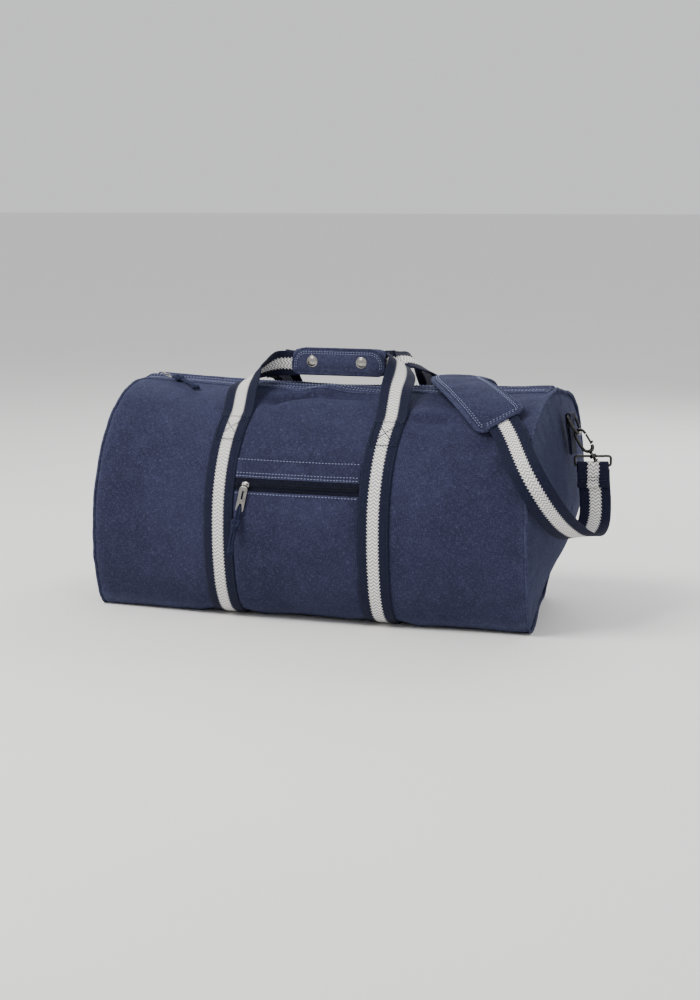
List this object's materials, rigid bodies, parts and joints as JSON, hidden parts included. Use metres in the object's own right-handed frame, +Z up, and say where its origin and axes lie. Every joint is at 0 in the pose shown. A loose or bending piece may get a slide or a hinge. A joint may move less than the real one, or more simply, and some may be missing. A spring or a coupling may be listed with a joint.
{
  "type": "weekender bag",
  "caption": "Canvas holdall with a zipped crest, a zip pocket between webbing bands, twin handles in a snapped grip and a clip-on padded shoulder strap.",
  "frame": {"origin": "centre of the base's underside, on the surface the bag stands on", "axes": "+X along the bag to the right as seen from the front, +Y to the rear, +Z up; the pocket faces -Y"},
  "size_m": [0.6922, 0.3533, 0.332],
  "materials": {
    "canvas": "washed navy canvas, matt, piece-dyed with lighter seams",
    "webbing": "navy twill webbing with a cream herringbone stripe",
    "webbing_core": "the same webbing inside the grip",
    "zip_tape": "woven tape with a nylon coil",
    "silver_metal": "aged nickel plate",
    "gunmetal": "gunmetal plate",
    "base_board": "pressed fibre board"
  },
  "bodies": {
    "bag": {"front_panel": "canvas", "rear_panel": "canvas", "base_panel": "canvas", "left_end_panel": "canvas", "right_end_panel": "canvas", "pocket_panel": "canvas", "pocket_facing": "canvas", "zip_end_tab_left": "canvas", "zip_end_tab_right": "canvas", "shoulder_pad": "canvas", "webbing_front_left": "webbing", "webbing_front_right": "webbing", "webbing_rear_left": "webbing", "webbing_rear_right": "webbing", "webbing_base_left": "webbing", "webbing_base_right": "webbing", "handle_leg_front_left": "webbing", "handle_leg_front_right": "webbing", "handle_leg_rear_left": "webbing", "handle_leg_rear_right": "webbing", "d_ring_tab_left": "webbing", "d_ring_tab_right": "webbing", "strap_right_run": "webbing", "strap_left_run": "webbing", "strap_return": "webbing", "main_zip_front": "zip_tape", "main_zip_rear": "zip_tape", "pocket_zip_lower": "zip_tape", "pocket_zip_upper": "zip_tape", "strap_loop_left": "gunmetal", "strap_loop_right": "gunmetal", "base_board": "base_board"},
    "main_slider": {"main_zip_slider": "silver_metal"},
    "main_pull": {"main_pull_tab": "silver_metal", "main_pull_cord": "webbing"},
    "pocket_slider": {"pocket_zip_slider": "silver_metal"},
    "pocket_pull": {"pocket_pull_tab": "silver_metal", "pocket_pull_cord": "webbing"},
    "grip": {"grip_wrap": "canvas", "handle_core_front": "webbing_core", "handle_core_rear": "webbing_core", "snap_stud_left": "silver_metal", "snap_stud_right": "silver_metal"},
    "flap": {"grip_flap": "canvas", "snap_cap_left": "silver_metal", "snap_cap_right": "silver_metal"},
    "ring_right": {"d_ring_right": "gunmetal"},
    "ring_left": {"d_ring_left": "gunmetal"},
    "snap_hook_right": {"hook_right": "gunmetal"},
    "snap_hook_left": {"hook_left": "gunmetal"},
    "gate_right": {"hook_gate_right": "gunmetal"},
    "gate_left": {"hook_gate_left": "gunmetal"},
    "adjuster": {"strap_adjuster": "gunmetal"}
  },
  "joints": [
    {"name": "main_zip_slide", "type": "slide", "parent": "bag", "child": "main_slider", "axis": [1, 0, 0], "range_m": [0, 0.14]},
    {"name": "main_pull_swing", "type": "hinge", "parent": "main_slider", "child": "main_pull", "pos_m": [-0.25, 0, 0.2914], "axis": [-0.6428, -0.766, 0], "range_deg": [0, 120]},
    {"name": "pocket_zip_slide", "type": "slide", "parent": "bag", "child": "pocket_slider", "axis": [1, 0, 0], "range_m": [0, 0.14]},
    {"name": "pocket_pull_swing", "type": "hinge", "parent": "pocket_slider", "child": "pocket_pull", "pos_m": [-0.066, -0.1617, 0.1733], "axis": [-1, 0, 0], "range_deg": [0, 120]},
    {"name": "grip_lift", "type": "slide", "parent": "bag", "child": "grip", "axis": [0, 0, 1], "range_m": [0, 0.022], "deforming": ["handle_leg_front_left", "handle_leg_front_right", "handle_leg_rear_left", "handle_leg_rear_right"]},
    {"name": "grip_flap_open", "type": "hinge", "parent": "grip", "child": "flap", "pos_m": [0.003, -0.0125, 0.299], "axis": [1, 0, 0], "range_deg": [0, 100]},
    {"name": "d_ring_right_swing", "type": "hinge", "parent": "bag", "child": "ring_right", "pos_m": [0.305, 0, 0.257], "axis": [0, -1, 0], "range_deg": [0, 2.5]},
    {"name": "d_ring_left_swing", "type": "hinge", "parent": "bag", "child": "ring_left", "pos_m": [-0.305, 0, 0.257], "axis": [0, -1, 0], "range_deg": [0, 4]},
    {"name": "hook_right_turn", "type": "hinge", "parent": "bag", "child": "snap_hook_right", "pos_m": [0.3172, 0, 0.234], "axis": [0.5447, 0, -0.8386], "range_deg": [-10, 10]},
    {"name": "hook_left_turn", "type": "hinge", "parent": "bag", "child": "snap_hook_left", "pos_m": [-0.3195, 0, 0.2355], "axis": [-0.1392, 0, -0.9903], "range_deg": [-10, 10]},
    {"name": "hook_gate_right_press", "type": "hinge", "parent": "snap_hook_right", "child": "gate_right", "pos_m": [0.332, 0, 0.2229], "axis": [0, -1, 0], "range_deg": [0, 20], "stiffness_Nm_per_rad": 0.02, "springref_deg": -11.46},
    {"name": "hook_gate_left_press", "type": "hinge", "parent": "snap_hook_left", "child": "gate_left", "pos_m": [-0.3283, 0, 0.2191], "axis": [0, 1, 0], "range_deg": [0, 20], "stiffness_Nm_per_rad": 0.02, "springref_deg": -11.46},
    {"name": "adjuster_slide", "type": "slide", "parent": "bag", "child": "adjuster", "axis": [1, 0, 0], "range_m": [-0.03, 0.05]}
  ]
}
